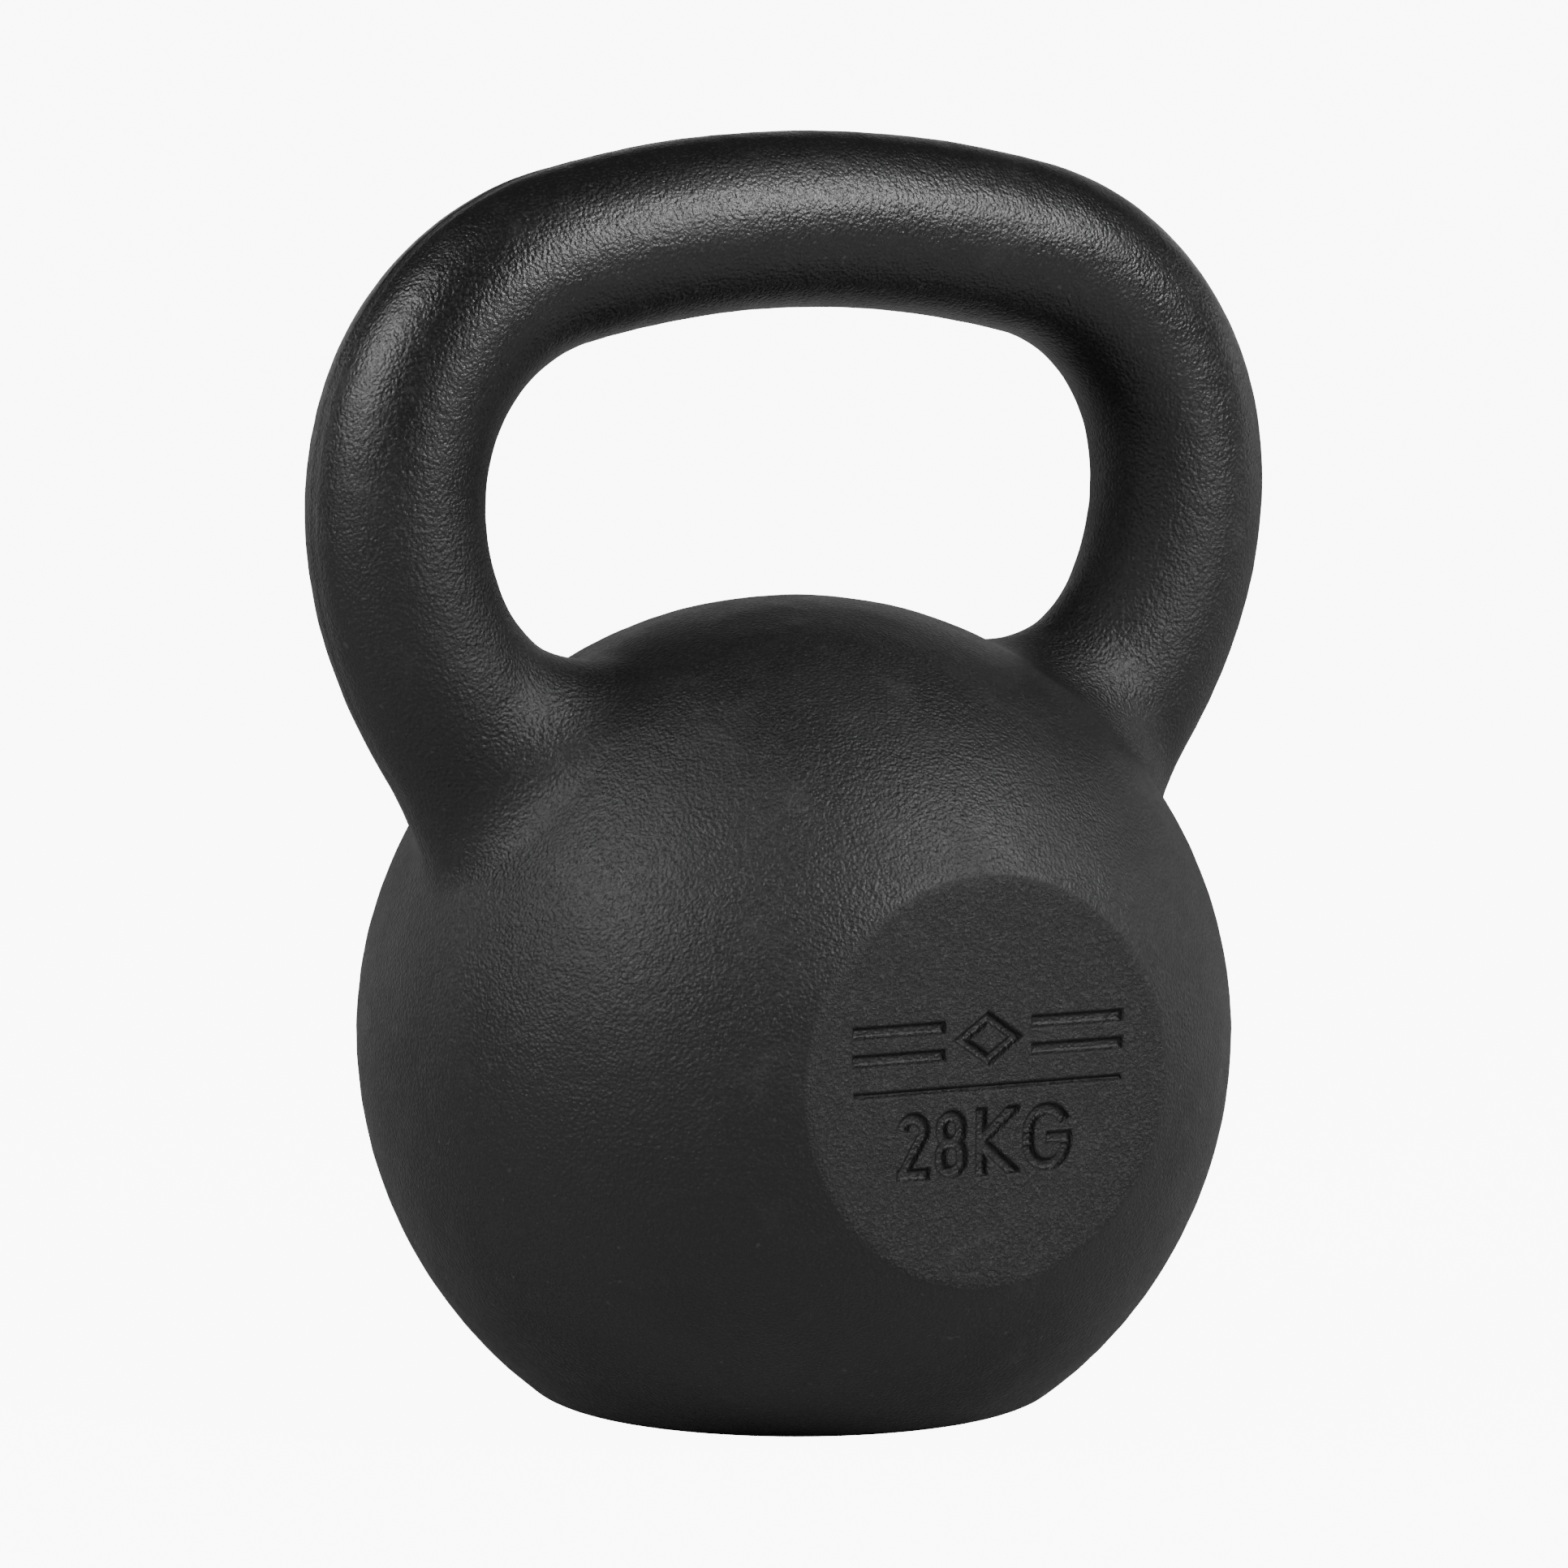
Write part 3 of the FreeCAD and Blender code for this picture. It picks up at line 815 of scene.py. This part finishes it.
def coat_material():
    """Black wrinkled powder coat: glossier on the handle, matte and sandy on the facet, with a painted
    highlight on the crests of its grain.
    """
    n = Nodes("powder_coat_black")
    place = n.add("TexCoord").outputs["Object"]
    axes = n.add("SeparateXYZ")
    n.link(place, axes.inputs["Vector"])
    height, depth = axes.outputs["Z"], axes.outputs["Y"]
    on_handle = n.ramp(height, HANDLE_FADE[0] * MM, HANDLE_FADE[1] * MM)
    facet_fade = [(start - FACET_DISTANCE) * MM for start in FACET_FADE_DEPTHS]
    on_facet = n.ramp(depth, *facet_fade, 1, 0)
    to_foot = n.ramp(height, 0, FOOT_FADE_TOP * MM, 1, 0)

    wrinkles = n.noise(place, *WRINKLES)
    blisters = n.blisters(place, BLISTER_SIZE)
    sand = n.noise(place, *SAND)
    raised = n.maths("MULTIPLY", wrinkles, WRINKLE_SHARE)
    peel = n.maths("ADD", raised, n.maths("MULTIPLY", blisters, BLISTER_SHARE))
    peel = n.maths("MULTIPLY", peel, n.ramp(on_handle, 0, 1, 1, HANDLE_PEEL))
    grain = n.blend(on_facet, peel, n.maths("MULTIPLY", sand, SAND_SHARE))
    bump = n.add("Bump")
    bump.inputs["Strength"].default_value = 1.0
    bump.inputs["Distance"].default_value = GRAIN_HEIGHT
    n.link(grain, bump.inputs["Height"])
    n.link(bump.outputs["Normal"], n.shader.inputs["Normal"])

    patches = n.ramp(n.noise(place, *PATCHES), *PATCH_RANGE)
    on_ball = n.blend(patches, *BALL_ROUGHNESS)
    rough = n.blend(on_handle, on_ball, n.blend(patches, *HANDLE_ROUGHNESS))
    rough = n.blend(on_facet, rough, FACET_ROUGHNESS)
    spread = n.ramp(wrinkles, *WRINKLE_RANGE, -WRINKLE_ROUGHNESS, WRINKLE_ROUGHNESS)
    rough = n.maths("ADD", rough, spread)
    rough = n.maths("ADD", rough, n.maths("MULTIPLY", to_foot, FOOT_ROUGHNESS))
    n.link(rough, n.shader.inputs["Roughness"])

    dust = n.maths("MULTIPLY", n.ramp(n.noise(place, *DUST), *DUST_RANGE), patches)
    specks = n.ramp(n.noise(place, *SPECKS), *SPECK_RANGE)
    # Painted glint: the crests of the wrinkles, or of the sand on the facet, are coloured lighter than
    # their hollows as a painted highlight.
    painted_glint_crests = n.ramp(n.blend(on_facet, wrinkles, sand), *PAINTED_GLINT_RANGE)
    painted_glint_share = n.blend(on_facet, BALL_PAINTED_GLINT, FACET_PAINTED_GLINT)
    # The coat is lightened by dust and specks, and by the painted highlight on the crests.
    dust_specks_and_glint = n.maths("MULTIPLY", dust, DUST_LIGHT)
    dust_specks_and_glint = n.maths("ADD", dust_specks_and_glint, n.maths("MULTIPLY", specks, SPECK_LIGHT))
    dust_specks_and_glint = n.maths("ADD", dust_specks_and_glint, n.maths("MULTIPLY", painted_glint_crests, painted_glint_share))
    colour = n.add("Mix", data_type="RGBA")
    n.link(dust_specks_and_glint, colour.inputs[MIX_FACTOR])
    colour.inputs[MIX_FIRST].default_value = DARK_COLOUR
    colour.inputs[MIX_SECOND].default_value = LIGHT_COLOUR
    n.link(colour.outputs[MIX_RESULT], n.shader.inputs["Base Color"])
    n.shader.inputs["Specular IOR Level"].default_value = SPECULAR_LEVEL
    return n.material


coat = coat_material()
for node, piece in pieces.items():
    piece.data.materials.clear()
    piece.data.materials.append(coat)
    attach(piece, "root")
    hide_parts(node)


# ---------------------------------------------------------------- camera, floor and light

TO_CAMERA = Vector((
    math.sin(CAMERA_AZIMUTH) * math.cos(CAMERA_ELEVATION),
    -math.cos(CAMERA_AZIMUTH) * math.cos(CAMERA_ELEVATION),
    math.sin(CAMERA_ELEVATION),
))
TO_RIGHT = Vector((math.cos(CAMERA_AZIMUTH), math.sin(CAMERA_AZIMUTH), 0))
UPWARDS = TO_CAMERA.cross(TO_RIGHT)


def aim(thing, target):
    """Turn a camera or lamp, which look along their own -Z, to a point."""
    direction = target - thing.location
    thing.rotation_euler = direction.to_track_quat("-Z", "Y").to_euler()


def add_camera():
    """A long lens from the left of the front, a little above the ball."""
    data = bpy.data.cameras.new("camera")
    data.sensor_width = SENSOR_WIDTH
    data.lens = CAMERA_LENS
    data.clip_end = CLIP_END
    view = new_object("camera", data)
    view.location = LOOK_AT + TO_CAMERA * CAMERA_DISTANCE
    aim(view, LOOK_AT)
    view.rotation_euler.rotate_axis("Z", CAMERA_ROLL)
    bpy.context.scene.camera = view


def add_softbox(name, direction, distance, size, power):
    """Soft lamp in a direction given as shares to the right, up and towards the camera."""
    right, up, towards = direction
    data = bpy.data.lights.new(name, "AREA")
    data.shape = "RECTANGLE"
    data.size, data.size_y = size
    data.energy = power
    lamp = new_object(name, data)
    way = (TO_RIGHT * right + UPWARDS * up + TO_CAMERA * towards).normalized()
    lamp.location = LOOK_AT + way * distance
    aim(lamp, LOOK_AT)
    lamp.visible_camera = False


def add_floor():
    """A plain pale floor."""
    reach = FLOOR_REACH
    corners = [(-reach, -reach, 0), (reach, -reach, 0), (reach, reach, 0), (-reach, reach, 0)]
    mesh = bpy.data.meshes.new("floor")
    mesh.from_pydata(corners, [], [(0, 1, 2, 3)])
    plane = new_object("floor", mesh)
    n = Nodes("pale_floor")
    n.shader.inputs["Base Color"].default_value = (FLOOR_GREY, FLOOR_GREY, FLOOR_GREY, 1)
    n.shader.inputs["Roughness"].default_value = 1.0
    n.shader.inputs["Specular IOR Level"].default_value = 0.0
    n.shader.inputs["Emission Color"].default_value = (1, 1, 1, 1)
    seen = n.add("LightPath").outputs["Is Camera Ray"]
    n.link(n.ramp(seen, 0, 1, 0, FLOOR_GLOW), n.shader.inputs["Emission Strength"])
    mesh.materials.append(n.material)


def add_world():
    """A pale room for the camera, and a dim one for what the coat reflects."""
    world = bpy.data.worlds.new("studio")
    world.use_nodes = True
    tree = world.node_tree
    background = tree.nodes["Background"]
    path = tree.nodes.new("ShaderNodeLightPath")
    strength = tree.nodes.new("ShaderNodeMapRange")
    strength.inputs["To Min"].default_value = DIM_ROOM
    strength.inputs["To Max"].default_value = PALE_ROOM
    tree.links.new(path.outputs["Is Camera Ray"], strength.inputs["Value"])
    tree.links.new(strength.outputs["Result"], background.inputs["Strength"])
    background.inputs["Color"].default_value = (1, 1, 1, 1)
    bpy.context.scene.world = world


add_camera()
add_floor()
for name, direction, distance, size, power in SOFTBOXES:
    add_softbox(name, direction, distance, size, power)
add_world()

bpy.context.view_layer.update()
